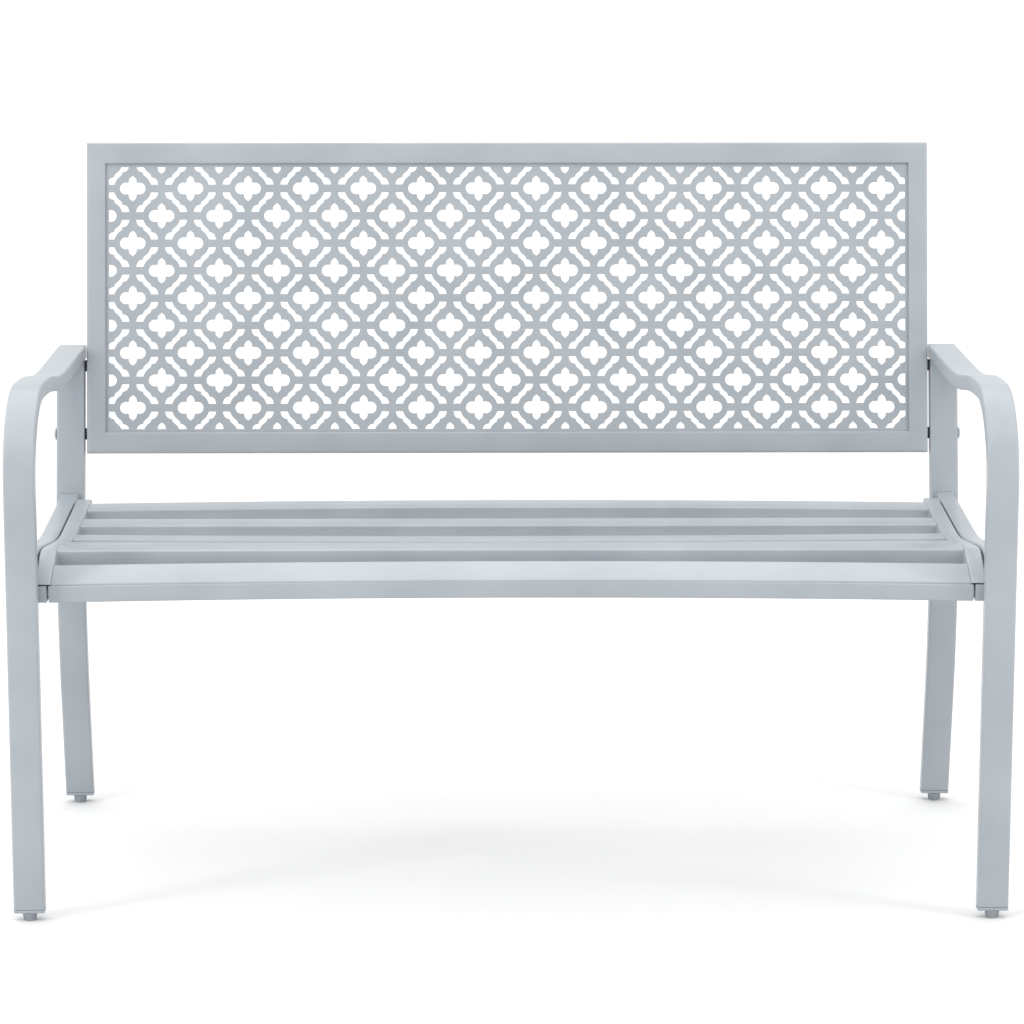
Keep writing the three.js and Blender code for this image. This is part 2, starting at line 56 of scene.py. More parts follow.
def toLinear(hexColour):
    channels = [int(hexColour[i : i + 2], 16) / 255 for i in (1, 3, 5)]
    return [c / 12.92 if c <= 0.04045 else ((c + 0.055) / 1.055) ** 2.4 for c in channels] + [1]


def addNode(tree, kind, settings, links=None):
    node = tree.nodes.new(kind)
    for key, value in settings.items():
        if isinstance(key, int) or key in node.inputs:
            node.inputs[key].default_value = value
        else:
            setattr(node, key, value)
    for key, socket in (links or {}).items():
        tree.links.new(socket, node.inputs[key])
    return node


def startMaterial(name):
    material = bpy.data.materials.new(name)
    material.use_nodes = True
    tree = material.node_tree
    tree.nodes.clear()
    place = addNode(tree, "ShaderNodeTexCoord", {}).outputs["Object"]
    return material, tree, place


def endMaterial(tree, settings, links):
    shader = addNode(tree, "ShaderNodeBsdfPrincipled", settings, links)
    addNode(tree, "ShaderNodeOutputMaterial", {}, {"Surface": shader.outputs["BSDF"]})


# Two colours over a noise, whose values lie mostly within the spread.
def coloursOver(tree, factor, low, high, spread=(0.3, 0.7)):
    ramp = addNode(tree, "ShaderNodeValToRGB", {}, {"Fac": factor})
    for stop, position, colour in zip(ramp.color_ramp.elements, spread, (low, high)):
        stop.position = position
        stop.color = toLinear(colour)
    return ramp.outputs["Color"]


# Polyester powder coat on steel, baked: satin, with the shallow orange peel that the powder flows out to,
# and a tone that drifts a little with its thickness. The powder's own grain is drawn coarse enough to show.
coat = {
    "thin": "#959CA2", "thick": "#9EA4A9", "speck": ("#F4F4F4", "#FFFFFF"), "drift": 90, "peel": 2.6,
    "peelDeep": 0.03, "grain": 0.7, "grainDeep": 0.005, "smoothest": 0.27, "roughest": 0.36,
}


def makeCoat():
    material, tree, place = startMaterial("satin_powder_coat")
    scale = {key: 1000 / coat[key] for key in ("drift", "peel", "grain")}
    at = {"Vector": place}
    drift = addNode(tree, "ShaderNodeTexNoise", {"Scale": scale["drift"], "Detail": 2.0}, at)
    peel = addNode(tree, "ShaderNodeTexNoise", {"Scale": scale["peel"], "Detail": 1.0}, at)
    grain = addNode(tree, "ShaderNodeTexNoise", {"Scale": scale["grain"], "Detail": 2.0}, at)
    tone = coloursOver(tree, drift.outputs["Fac"], coat["thin"], coat["thick"])
    speck = coloursOver(tree, grain.outputs["Fac"], *coat["speck"])
    mixing = {"data_type": "RGBA", "blend_type": "MULTIPLY", 0: 1.0}
    colour = addNode(tree, "ShaderNodeMix", mixing, {6: tone, 7: speck})
    sheen = addNode(
        tree, "ShaderNodeMapRange",
        {"To Min": coat["smoothest"], "To Max": coat["roughest"]}, {"Value": peel.outputs["Fac"]},
    )
    fine = addNode(
        tree, "ShaderNodeBump", {"Strength": 1.0, "Distance": coat["grainDeep"] / 1000},
        {"Height": grain.outputs["Fac"]},
    )
    bump = addNode(
        tree, "ShaderNodeBump", {"Strength": 1.0, "Distance": coat["peelDeep"] / 1000},
        {"Height": peel.outputs["Fac"], "Normal": fine.outputs["Normal"]},
    )
    endMaterial(
        tree, {"IOR": 1.5, "Metallic": 0.0},
        {
            "Base Color": colour.outputs[2], "Roughness": sheen.outputs["Result"],
            "Normal": bump.outputs["Normal"],
        },
    )
    return material


# Electroplated zinc on steel screws: bright, faintly blue, cloudy, with the marks of cold forming, which
# are drawn coarse enough to show.
zinc = {
    "dull": "#A9AFB4", "bright": "#C8CDD0", "marks": 0.8, "marksDeep": 0.01, "cloud": 4,
    "smoothest": 0.24, "roughest": 0.42,
}


def makeZinc():
    material, tree, place = startMaterial("zinc_plated_steel")
    at = {"Vector": place}
    cloud = addNode(tree, "ShaderNodeTexNoise", {"Scale": 1000 / zinc["cloud"], "Detail": 3.0}, at)
    marks = addNode(tree, "ShaderNodeTexNoise", {"Scale": 1000 / zinc["marks"], "Detail": 2.0}, at)
    tone = coloursOver(tree, cloud.outputs["Fac"], zinc["dull"], zinc["bright"])
    sheen = addNode(
        tree, "ShaderNodeMapRange",
        {"To Min": zinc["smoothest"], "To Max": zinc["roughest"]}, {"Value": cloud.outputs["Fac"]},
    )
    bump = addNode(
        tree, "ShaderNodeBump", {"Strength": 1.0, "Distance": zinc["marksDeep"] / 1000},
        {"Height": marks.outputs["Fac"]},
    )
    endMaterial(
        tree, {"Metallic": 1.0},
        {"Base Color": tone, "Roughness": sheen.outputs["Result"], "Normal": bump.outputs["Normal"]},
    )
    return material


# Black EPDM rubber, die cut: matt, with a dusty grain, drawn coarse enough to show.
rubber = {"deep": "#141517", "dusty": "#26282A", "grain": 1.2, "grainDeep": 0.03}


def makeRubber():
    material, tree, place = startMaterial("black_rubber")
    noise = {"Scale": 1000 / rubber["grain"], "Detail": 4.0}
    grain = addNode(tree, "ShaderNodeTexNoise", noise, {"Vector": place})
    tone = coloursOver(tree, grain.outputs["Fac"], rubber["deep"], rubber["dusty"])
    bump = addNode(
        tree, "ShaderNodeBump", {"Strength": 1.0, "Distance": rubber["grainDeep"] / 1000},
        {"Height": grain.outputs["Fac"]},
    )
    endMaterial(
        tree, {"Roughness": 0.82, "IOR": 1.52}, {"Base Color": tone, "Normal": bump.outputs["Normal"]},
    )
    return material


# Polypropylene, injection moulded in a spark-eroded tool: an even, slightly waxy grey. The sparks' texture
# is drawn coarse enough to show.
plastic = {
    "dark": "#8D949A", "light": "#999FA5", "spark": 0.6, "sparkDeep": 0.012,
    "smoothest": 0.48, "roughest": 0.62,
}


def makePlastic():
    material, tree, place = startMaterial("grey_polypropylene")
    noise = {"Scale": 1000 / plastic["spark"], "Detail": 3.0}
    spark = addNode(tree, "ShaderNodeTexNoise", noise, {"Vector": place})
    tone = coloursOver(tree, spark.outputs["Fac"], plastic["dark"], plastic["light"])
    sheen = addNode(
        tree, "ShaderNodeMapRange",
        {"To Min": plastic["smoothest"], "To Max": plastic["roughest"]}, {"Value": spark.outputs["Fac"]},
    )
    bump = addNode(
        tree, "ShaderNodeBump", {"Strength": 1.0, "Distance": plastic["sparkDeep"] / 1000},
        {"Height": spark.outputs["Fac"]},
    )
    endMaterial(
        tree, {"IOR": 1.49},
        {"Base Color": tone, "Roughness": sheen.outputs["Result"], "Normal": bump.outputs["Normal"]},
    )
    return material


finishes = {
    "powder_coat": makeCoat(), "zinc": makeZinc(), "black_rubber": makeRubber(),
    "grey_plastic": makePlastic(),
}
print("finishes made")


# A finished piece: scaled to metres, smooth but for its hard edges, which are slightly rounded.
def finishPiece(bm, name, slot, nodes=(), body="bench", rounding=0.0, crease=35):
    bmesh.ops.scale(bm, vec=(0.001, 0.001, 0.001), verts=bm.verts)
    mesh = bpy.data.meshes.new(name)
    bm.to_mesh(mesh)
    bm.free()
    mesh.materials.append(finishes[slot])
    mesh.shade_smooth()
    mesh.set_sharp_from_angle(angle=math.radians(crease))
    piece = bpy.data.objects.new(name, mesh)
    bpy.context.scene.collection.objects.link(piece)
    if rounding:
        bevel = piece.modifiers.new("edges", "BEVEL")
        bevel.width = rounding / 1000
        bevel.segments = 2
        bevel.limit_method = "ANGLE"
        bevel.angle_limit = math.radians(crease)
        bevel.harden_normals = True
    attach(piece, body)
    if nodes:
        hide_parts(*nodes)
    return piece


def placed(bm, matrix):
    bmesh.ops.transform(bm, matrix=matrix, verts=bm.verts)
    return bm


def point(x, y):
    return Vector((x, y, 0))


def arc(centre, radius, start, end, steps):
    angles = [math.radians(start + (end - start) * i / steps) for i in range(steps + 1)]
    return [centre + point(radius * math.cos(a), radius * math.sin(a)) for a in angles]


# A smooth line through points.
def splineThrough(points, steps):
    line = [points[0]]
    last = len(points) - 1
    for i in range(last):
        here, there = points[i], points[i + 1]
        out = here + (there - points[max(i - 1, 0)]) / 6
        into = there - (points[min(i + 2, last)] - here) / 6
        line += interpolate_bezier(here, out, into, there, steps + 1)[1:]
    return line


# The line moved sideways in its plan, to its left for a positive distance.
def besideLine(line, distance):
    return [s.translation + s.to_3x3() @ Vector((distance, 0, 0)) for s in stationsOf(line)]


# One matrix for each point: x across the line in its plan, y out of the plan, z on along the line.
def stationsOf(line):
    stations = []
    last = len(line) - 1
    for i, here in enumerate(line):
        before = (here - line[max(i - 1, 0)]).normalized()
        after = (line[min(i + 1, last)] - here).normalized()
        along = (before + after).normalized()
        turn = Matrix((point(-along.y, along.x), (0, 0, 1), along)).transposed().to_4x4()
        stations.append(Matrix.Translation(here) @ turn)
    return stations


def sectionFace(bm, size, segments=5):
    corners = bmesh.ops.create_grid(bm, x_segments=1, y_segments=1, size=0.5)["verts"]
    bmesh.ops.scale(bm, vec=(size["thick"], size["wide"], 1), verts=corners)
    bmesh.ops.bevel(
        bm, geom=corners, offset=size["corner"], offset_type="OFFSET", segments=segments, profile=0.5,
        affect="VERTICES", material=-1,
    )
    bm.faces.ensure_lookup_table()
    return bm.faces[0]


# Extrudes a face. A lone face stays behind as the near end, any other is taken away.
def pushOn(bm, face, move):
    nearEnd = all(edge.is_boundary for edge in face.edges)
    made = bmesh.ops.extrude_face_region(bm, geom=[face])["geom"]
    if not nearEnd and face.is_valid:
        bmesh.ops.delete(bm, geom=[face], context="FACES_ONLY")
    verts = [g for g in made if isinstance(g, bmesh.types.BMVert)]
    bmesh.ops.transform(bm, matrix=move, verts=verts)
    return next(g for g in made if isinstance(g, bmesh.types.BMFace))


def tubeAlong(line, size):
    bm = bmesh.new()
    face = sectionFace(bm, size)
    stations = stationsOf(line)
    placed(bm, stations[0])
    for here, there in zip(stations, stations[1:]):
        face = pushOn(bm, face, there @ here.inverted())
    bmesh.ops.recalc_face_normals(bm, faces=bm.faces)
    return bm


# Cuts away what lies past the plane and closes the cut.
def sawn(bm, place, direction):
    geom = bm.verts[:] + bm.edges[:] + bm.faces[:]
    bmesh.ops.bisect_plane(bm, geom=geom, dist=1e-4, plane_co=place, plane_no=direction, clear_outer=True)
    bmesh.ops.holes_fill(bm, edges=[e for e in bm.edges if e.is_boundary], sides=0)
    return bm


def turned(profile, steps=40, ring=False):
    bm = bmesh.new()
    verts = [bm.verts.new((radius, 0, height)) for radius, height in profile]
    edges = [bm.edges.new(pair) for pair in zip(verts, verts[1:])]
    if ring:
        edges.append(bm.edges.new((verts[-1], verts[0])))
    bmesh.ops.spin(
        bm, geom=verts + edges, cent=(0, 0, 0), axis=(0, 0, 1), angle=math.tau, steps=steps, use_merge=True,
    )
    bmesh.ops.remove_doubles(bm, verts=bm.verts, dist=1e-4)
    bmesh.ops.recalc_face_normals(bm, faces=bm.faces)
    return bm


# Turns a piece's z axis out along the bench's x axis, on either side.
def outwards(sign, place):
    return Matrix.Translation(place) @ Matrix.Rotation(sign * math.pi / 2, 4, "Y")


# A weld bead: overlapping ripples from one point to another, smaller at its ends and dipped between.
bead = {"radius": 1.5, "ripple": 1.7, "dip": 0.84, "end": 0.6, "fewest": 4}


def addBead(bm, start, end):
    along = end - start
    count = max(bead["fewest"], round(along.length / bead["ripple"]))
    turn = along.to_track_quat("Z", "Y").to_matrix().to_4x4()
    verts = bmesh.ops.create_circle(bm, cap_ends=True, segments=8, radius=bead["radius"])["verts"]
    bmesh.ops.transform(bm, matrix=Matrix.Translation(start) @ turn, verts=verts)
    face = verts[0].link_faces[0]
    size = 1.0
    for i in range(1, 2 * count + 1):
        wanted = 1.0 if i % 2 else bead["dip"]
        if i in (1, 2 * count):
            wanted = bead["end"]
        middle = face.calc_center_median()
        grow = Matrix.Translation(middle) @ Matrix.Scale(wanted / size, 4) @ Matrix.Translation(-middle)
        face = pushOn(bm, face, Matrix.Translation(along / (2 * count)) @ grow)
        size = wanted


# Side frames: a bent front leg and arm, a bowed rear leg, and a rail between them under the seat's edge.
sideTube = {"wide": 37, "thick": 19, "corner": 3}
armRun = {"foot": 14.3, "crest": 633, "bend": 110, "dip": 615, "dipY": 370, "rear": 617, "rearY": 580}
rearRun = {"kneeY": 496.5, "kneeZ": 296, "kick": 11.7, "recline": 12.5, "below": 146, "above": 109}
half = sideTube["thick"] / 2
bendSteps, runSteps, railSteps = 28, 33, 8
rounding = {  # of the edges where a tube is cut off
    "arm": 0.5, "leg": 0.4, "side_rail": 0.4, "slat": 0.3, "end_rail": 0.4, "beam": 0.4, "bracket": 0.3,
}


def armLine():
    bendMiddle = point(armRun["bend"], armRun["crest"] - armRun["bend"])
    crest = point(armRun["bend"], armRun["crest"] - half)
    dip = point(armRun["dipY"], armRun["dip"] - half)
    reach = point((armRun["dipY"] - armRun["bend"]) / 2, 0)
    line = [point(half, armRun["foot"])]
    line += arc(bendMiddle, armRun["bend"] - half, 180, 90, bendSteps)
    line += interpolate_bezier(crest, crest + reach, dip - reach, dip, runSteps)[1:]
    return line + [point(armRun["rearY"], armRun["rear"] - half)]


def uprightY(height):
    return rearRun["kneeY"] + (height - rearRun["kneeZ"]) * math.tan(math.radians(rearRun["recline"]))


def shinY(height):
    return rearRun["kneeY"] + (rearRun["kneeZ"] - height) * math.tan(math.radians(rearRun["kick"]))


def rearLegLine():
    low, high = rearRun["kneeZ"] - rearRun["below"], rearRun["kneeZ"] + rearRun["above"]
    start, end = point(shinY(low), low), point(uprightY(high), high)
    knee = point(rearRun["kneeY"], rearRun["kneeZ"])
    bow = interpolate_bezier(start, start.lerp(knee, 2 / 3), end.lerp(knee, 2 / 3), end, runSteps)
    return [point(shinY(0), 0)] + bow + [point(uprightY(armRun["rear"]), armRun["rear"])]


# Seat line: the tops of the slats, from the nose over the crest down to the dip and up again.
seat = {
    "crest": 434.6, "firstY": 105, "pitch": 82.5, "drops": [0, 9.8, 17.9, 14.6, 9.6],
    "crowns": [1, -1.5, -2.5, 0, 4], "tail": 43, "flatten": 0.8,
}
nose = {"drop": 19.4, "y": 39, "tilt": 25, "crown": 5, "shoulderAhead": 10, "shoulderDrop": 2}
gap = 0.3  # between two pieces that are welded or pressed together
slatTube = {"wide": 40, "thick": 20, "corner": 2.5}
railTube = {"wide": 20, "thick": 20, "corner": 2.5}
sideRailTube = {"wide": 22, "thick": 20, "corner": 2.5, "drop": 5}
beamTube = {"wide": 20, "thick": 20, "corner": 2, "crown": 5, "wall": 1.5, "open": 30}

slatYs = [seat["firstY"] + i * seat["pitch"] for i in range(len(seat["drops"]))]
seatTops = [point(y, seat["crest"] - drop) for y, drop in zip(slatYs, seat["drops"])]
tailSlope = seat["flatten"] * (seat["drops"][-2] - seat["drops"][-1]) / seat["pitch"]
seatEnd = seatTops[-1] + point(seat["tail"], seat["tail"] * tailSlope)
noseTop = point(nose["y"], seat["crest"] - nose["drop"])
noseAlong = point(math.cos(math.radians(nose["tilt"])), math.sin(math.radians(nose["tilt"])))


def endRailLine():
    front = noseTop - noseAlong * slatTube["wide"] / 2
    back = noseTop + noseAlong * slatTube["wide"] / 2
    shoulderY = (back.x + 2 * seat["firstY"]) / 3 - nose["shoulderAhead"]
    shoulder = point(shoulderY, seat["crest"] - nose["shoulderDrop"])
    tops = splineThrough([front, noseTop, back, shoulder] + seatTops + [seatEnd], railSteps)
    return besideLine(tops, -railTube["thick"] / 2)


def sideRailLine():
    front = point(sideTube["thick"] + gap, seat["crest"] - sideRailTube["drop"])
    rearY = uprightY(seat["crest"])
    rear = point(rearY, seatTops[-1].y + (rearY - seatTops[-1].x) * tailSlope)
    tops = splineThrough([front] + seatTops + [rear], railSteps)
    return besideLine(tops, -sideRailTube["thick"] / 2)


def makeSideFrames():
    recline = math.radians(rearRun["recline"])
    arms, legs, rails = armLine(), rearLegLine(), sideRailLine()
    underArm = armRun["rear"] - sideTube["thick"] - gap
    beside = point(math.cos(recline), -math.sin(recline))
    railEnd = point(uprightY(0), 0) - beside * (half + gap)
    for side, sign in sides.items():
        place = Matrix.Translation((sign * legX, 0, 0)) @ acrossX
        arm = placed(tubeAlong(arms, sideTube), place)
        nodes = [f"front_leg_and_arm_{side}"]
        finishPiece(arm, f"arm_and_leg_{side}", "powder_coat", nodes, rounding=rounding["arm"])
        leg = tubeAlong(legs, sideTube)
        sawn(leg, point(0, armRun["foot"]), point(0, -1))
        sawn(leg, point(0, underArm), point(0, 1))
        placed(leg, place)
        nodes = [f"rear_leg_{side}"]
        finishPiece(leg, f"upright_{side}", "powder_coat", nodes, rounding=rounding["leg"])
        rail = placed(sawn(tubeAlong(rails, sideRailTube), railEnd, beside), place)
        name = f"side_rail_{side}"
        finishPiece(rail, name, "powder_coat", [f"seat_{name}"], rounding=rounding["side_rail"])


makeSideFrames()
print("side frames made")


# A bracket: a straight box tube that fills a CAD node's box and is open at its outer end.
def boxTube(node, hollow):
    low, high = (corner * 1000 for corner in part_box(node))
    middle, outer = (low + high) / 2, math.copysign(1, low.x + high.x)
    length = high.x - low.x
    bm = bmesh.new()
    face = sectionFace(bm, beamTube)
    placed(bm, outwards(outer, Vector((middle.x - outer * length / 2, middle.y, middle.z))))
    face = pushOn(bm, face, Matrix.Translation((outer * length, 0, 0)))
    bmesh.ops.recalc_face_normals(bm, faces=bm.faces)
    bmesh.ops.inset_region(bm, faces=[face], thickness=beamTube["wall"], use_even_offset=True)
    pushOn(bm, face, Matrix.Translation((-outer * hollow, 0, 0)))
    return bm


# Crowned line across the bench.
def crownLine(halfLength, crown, steps=24):
    shares = [2 * i / steps - 1 for i in range(steps + 1)]
    return [point(share * halfLength, crown * (1 - share * share)) for share in shares]


def slatPlace(top, tilt):
    sunk = Vector((0, math.sin(tilt), -math.cos(tilt))) * slatTube["thick"] / 2
    place = Vector((0, frontFace + top.x, top.y)) + sunk
    return Matrix.Translation(place) @ Matrix.Rotation(tilt, 4, "X") @ alongX


def seatTilts():
    ahead = seatTops[1:] + [seatEnd]
    behind = [seatTops[0]] + seatTops[:-1]
    slopes = [math.atan2(a.y - b.y, a.x - b.x) for a, b in zip(ahead, behind)]
    return [0] + slopes[1:]


endRailX = (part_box("seat_end_rail_right")[0].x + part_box("seat_end_rail_right")[1].x) * 500
slatHalf = endRailX - railTube["wide"] / 2
slatPlaces = [slatPlace(top, tilt) for top, tilt in zip(seatTops, seatTilts())]
nosePlace = slatPlace(noseTop, math.radians(nose["tilt"]))
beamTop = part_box("seat_bracket_front_right")[1].z * 1000
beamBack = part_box("seat_bracket_front_right")[1].y * 1000


def makeSeat():
    for i, place in enumerate(slatPlaces):
        slat = placed(tubeAlong(crownLine(slatHalf, seat["crowns"][i]), slatTube), place)
        name = f"slat_{i + 2}"
        finishPiece(slat, name, "powder_coat", [f"seat_{name}"], rounding=rounding["slat"])
    front = placed(tubeAlong(crownLine(slatHalf, nose["crown"]), slatTube), nosePlace)
    finishPiece(front, "slat_nose", "powder_coat", ["seat_slat_1_nose"], rounding=rounding["slat"])
    line = endRailLine()
    for side, sign in sides.items():
        rail = placed(tubeAlong(line, railTube), Matrix.Translation((sign * endRailX, 0, 0)) @ acrossX)
        for vert in rail.verts:  # coped over the front beam
            if vert.co.y < beamBack + gap:
                vert.co.z = max(vert.co.z, beamTop + gap)
        name = f"end_rail_{side}"
        finishPiece(rail, name, "powder_coat", [f"seat_{name}"], rounding=rounding["end_rail"])
    for end, crown in {"front": beamTube["crown"], "rear": 0}.items():
        low, high = (corner * 1000 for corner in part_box(f"seat_beam_{end}"))
        middle = Vector((0, (low.y + high.y) / 2, low.z + beamTube["thick"] / 2))
        beam = tubeAlong(crownLine(high.x, crown), beamTube)
        placed(beam, Matrix.Translation(middle) @ alongX)
        name = f"beam_{end}"
        finishPiece(beam, name, "powder_coat", [f"seat_{name}"], rounding=rounding["beam"])
        for side in sides:
            name = f"bracket_{end}_{side}"
            tube = boxTube(f"seat_{name}", beamTube["open"])
            finishPiece(tube, name, "powder_coat", [f"seat_{name}"], rounding=rounding["bracket"])


makeSeat()
print("seat made")

# Back panel: a frame of box tube, mitred and ground flush, round a pierced sheet.
panel = {"height": 410, "depth": 20, "rail": 28, "stile": 25, "corner": 2.5, "recline": 10.8}
sheet = {"thick": 2, "recess": 4, "border": 4, "edge": 0.2}
lean = math.radians(panel["recline"])
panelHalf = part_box("back_stile_right")[1].x * 1000
railLow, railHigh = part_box("back_rail_bottom")
panelUp = Vector((0, math.sin(lean), math.cos(lean)))
panelFoot = (railLow + railHigh) * 500 - panelUp * panel["rail"] / 2
panelPlace = Matrix.Translation(panelFoot) @ Matrix.Rotation(-lean, 4, "X")
inPanel = panelPlace @ Matrix.Translation((0, 0, panel["height"] / 2)) @ alongX  # plan x, y; z to the front


def mitredMember(length, size, across):
    bm = tubeAlong([point(-length, 0), point(length, 0)], size)
    for sign in (-1, 1):
        place = point(sign * length, -size["thick"] / 2)
        sawn(bm, place, point(sign * size["thick"], across))
    return bm


def makePanelFrame():
    railSize = {"thick": panel["rail"], "wide": panel["depth"], "corner": panel["corner"]}
    stileSize = dict(railSize, thick=panel["stile"])
    high = panel["height"] / 2
    for name, turn in {"bottom": 0, "top": math.pi}.items():
        rail = mitredMember(panelHalf, railSize, panel["stile"])
        placed(rail, Matrix.Rotation(turn, 4, "Z") @ Matrix.Translation((0, panel["rail"] / 2 - high, 0)))
        finishPiece(placed(rail, inPanel), f"panel_rail_{name}", "powder_coat", [f"back_rail_{name}"])
    for side, sign in sides.items():
        stile = mitredMember(high, stileSize, panel["rail"])
        shift = Matrix.Translation((0, panel["stile"] / 2 - panelHalf, 0))
        placed(stile, Matrix.Rotation(sign * math.pi / 2, 4, "Z") @ shift)
        finishPiece(placed(stile, inPanel), f"panel_stile_{side}", "powder_coat", [f"back_stile_{side}"])


makePanelFrame()
print("panel frame made")

# The sheet's pattern: rows of four-lobed flowers, and between each flower and its diagonal neighbours a
# waisted slot. The pattern is cut off straight at a plain border.
pattern = {
    "pitch": 76.1, "row": 36.2, "lobe": 7.85, "lobeAt": 9.15,
    "petal": [(5.9, 7.6), (5.2, 8.6), (5.1, 10.8), (4.3, 13.1), (2.8, 14.6), (1.2, 15.8), (0, 17.0)],
    "slotSide": [(-14.6, 13), (-13.8, 9.2), (-11.9, 5.8), (-8.9, 3.9), (-6.2, 3.3)],
    "slotWaist": [(-5.4, 3.1), (-5.1, 0.8), (-3.9, -1.1), (-1.3, -3), (1.8, -6), (3.7, -9.4), (5.2, -13)],
}


def quadrant():
    start = math.degrees(math.atan2(pattern["petal"][0][1], pattern["petal"][0][0] - pattern["lobeAt"]))
    lobe = arc(point(pattern["lobeAt"], 0), pattern["lobe"], 0, start, 6)[:-1]
    return lobe + [point(*p) for p in pattern["petal"]]


def flowerOutline():
    right = quadrant()
    top = [point(-p.x, p.y) for p in reversed(right)][1:]
    upper = right + top
    return upper + [point(p.x, -p.y) for p in reversed(upper)][1:-1]


def slotOutline():
    line = [point(*p) for p in pattern["slotSide"] + pattern["slotWaist"]]
    return line + [-p for p in line]


# What is left of an outline on the near side of a straight line across axis 0 or 1.
def trimmed(outline, axis, limit):
    sign = math.copysign(1, limit)
    kept = []
    for here, there in zip(outline, outline[1:] + outline[:1]):
        inHere, inThere = (sign * p[axis] < abs(limit) for p in (here, there))
        if inHere:
            kept.append(here)
        if inHere != inThere:
            kept.append(here.lerp(there, (limit - here[axis]) / (there[axis] - here[axis])))
    return kept


def openOutlines(halfWide, halfHigh):
    pitch, row = pattern["pitch"], pattern["row"]
    flower, slot = flowerOutline(), slotOutline()
    rows, columns = math.ceil(halfHigh / row), math.ceil(halfWide / pitch)
    found = []
    for j in range(-rows, rows + 1):
        for i in range(-columns - 1, columns + 1):
            middle = point((i + (0 if j % 2 else 0.5)) * pitch, j * row)
            found.append([middle + p for p in flower])
            for side in (-1, 1):
                apart = middle + point(side * pitch / 4, row / 2)
                found.append([apart + point(side * p.x, p.y) for p in slot][::side])
    for axis, limit in ((0, halfWide), (0, -halfWide), (1, halfHigh), (1, -halfHigh)):
        found = [trimmed(outline, axis, limit) for outline in found]
    return [outline for outline in found if len(outline) > 3]


def makeSheet():
    halfWide = panelHalf - panel["stile"]
    halfHigh = panel["height"] / 2 - panel["rail"]
    border = sheet["border"]
    edge = [point(x * halfWide, y * halfHigh) for x, y in ((-1, -1), (1, -1), (1, 1), (-1, 1))]
    curve = bpy.data.curves.new("pierced_sheet", "CURVE")
    curve.dimensions = "2D"
    curve.fill_mode = "BOTH"
    curve.extrude = sheet["thick"] / 2 - sheet["edge"]
    curve.bevel_depth = sheet["edge"]
    curve.bevel_resolution = 0
    curve.offset = -sheet["edge"]
    for outline in [edge] + openOutlines(halfWide - border, halfHigh - border):
        spline = curve.splines.new("POLY")
        spline.points.add(len(outline) - 1)
        for spot, p in zip(spline.points, outline):
            spot.co = (p.x, p.y, 0, 1)
        spline.use_cyclic_u = True
    flat = bpy.data.objects.new("pierced_sheet_curve", curve)
    bpy.context.scene.collection.objects.link(flat)
    bpy.context.view_layer.update()
    bm = bmesh.new()
    bm.from_mesh(flat.to_mesh())
    bpy.data.objects.remove(flat)
    bmesh.ops.remove_doubles(bm, verts=bm.verts, dist=1e-3)
    bmesh.ops.recalc_face_normals(bm, faces=bm.faces)
    back = panel["depth"] / 2 - sheet["recess"] - sheet["thick"] / 2
    placed(bm, inPanel @ Matrix.Translation((0, 0, back)))
    finishPiece(bm, "pierced_sheet", "powder_coat", ["back_pierced_sheet"], crease=30)


makeSheet()
print("pierced sheet made")

# Screws and what they pass through. The back bolts have domed heads with a hex socket.
screw = {
    "shank": 3, "chamfer": 0.5, "head": 8, "high": 3.6, "flatTop": 3.528, "rounding": 0.25, "socket": 2.31,
    "socketDeep": 2.2, "pitch": 1.0, "root": 2.45,
}
tooth = (("root", 0), ("root", 0.12), ("shank", 0.5), ("shank", 0.62))  # heights are shares of the pitch
hexHead = {"across": 10, "high": 4, "flange": 0.4, "flangeIn": 0.2, "rounding": 0.35}
rings = {"hole": 3.1, "spacer": 7.5, "washer": 7, "insert": 5, "bulge": 6.5}
ringRounding = {"spacer": 0.2, "washer": 0.3, "insert": 0.2}
bulge = [(6, "insert"), (4.4, "bulge"), (2.2, "bulge"), (1.8, "insert")]  # mm from the insert's inner end


# A hex socket, sunk into a turned head that is open inside the radius rim.
def hexIn(bm, rim, radius, top, deep):
    ring = [e for e in bm.edges if e.is_boundary and (e.verts[0].co.xy.length - rim) < 0.01]
    made = bmesh.ops.create_circle(bm, segments=6, radius=radius, matrix=Matrix.Translation((0, 0, top)))
    hexEdges = list({e for v in made["verts"] for e in v.link_edges})
    bmesh.ops.bridge_loops(bm, edges=ring + hexEdges)
    walls = bmesh.ops.extrude_edge_only(bm, edges=hexEdges)["geom"]
    low = [g for g in walls if isinstance(g, bmesh.types.BMVert)]
    bmesh.ops.translate(bm, vec=(0, 0, -deep), verts=low)
    bmesh.ops.holes_fill(bm, edges=[e for e in bm.edges if e.is_boundary], sides=0)
    bmesh.ops.recalc_face_normals(bm, faces=bm.faces)


def domeBolt(length):
    shank, head, chamfer = screw["shank"], screw["head"], screw["chamfer"]
    rim = screw["high"] / 4
    angles = [math.radians(a) for a in range(0, 70, 10)]
    dome = [(head * math.cos(a), rim + (screw["high"] - rim) * math.sin(a)) for a in angles]
    profile = [(0, -length), (shank - chamfer, -length), (shank, chamfer - length), (shank, 0)]
    bm = turned(profile + [(head, 0)] + dome)
    hexIn(bm, dome[-1][0], screw["socket"], screw["flatTop"], screw["socketDeep"])
    return bm


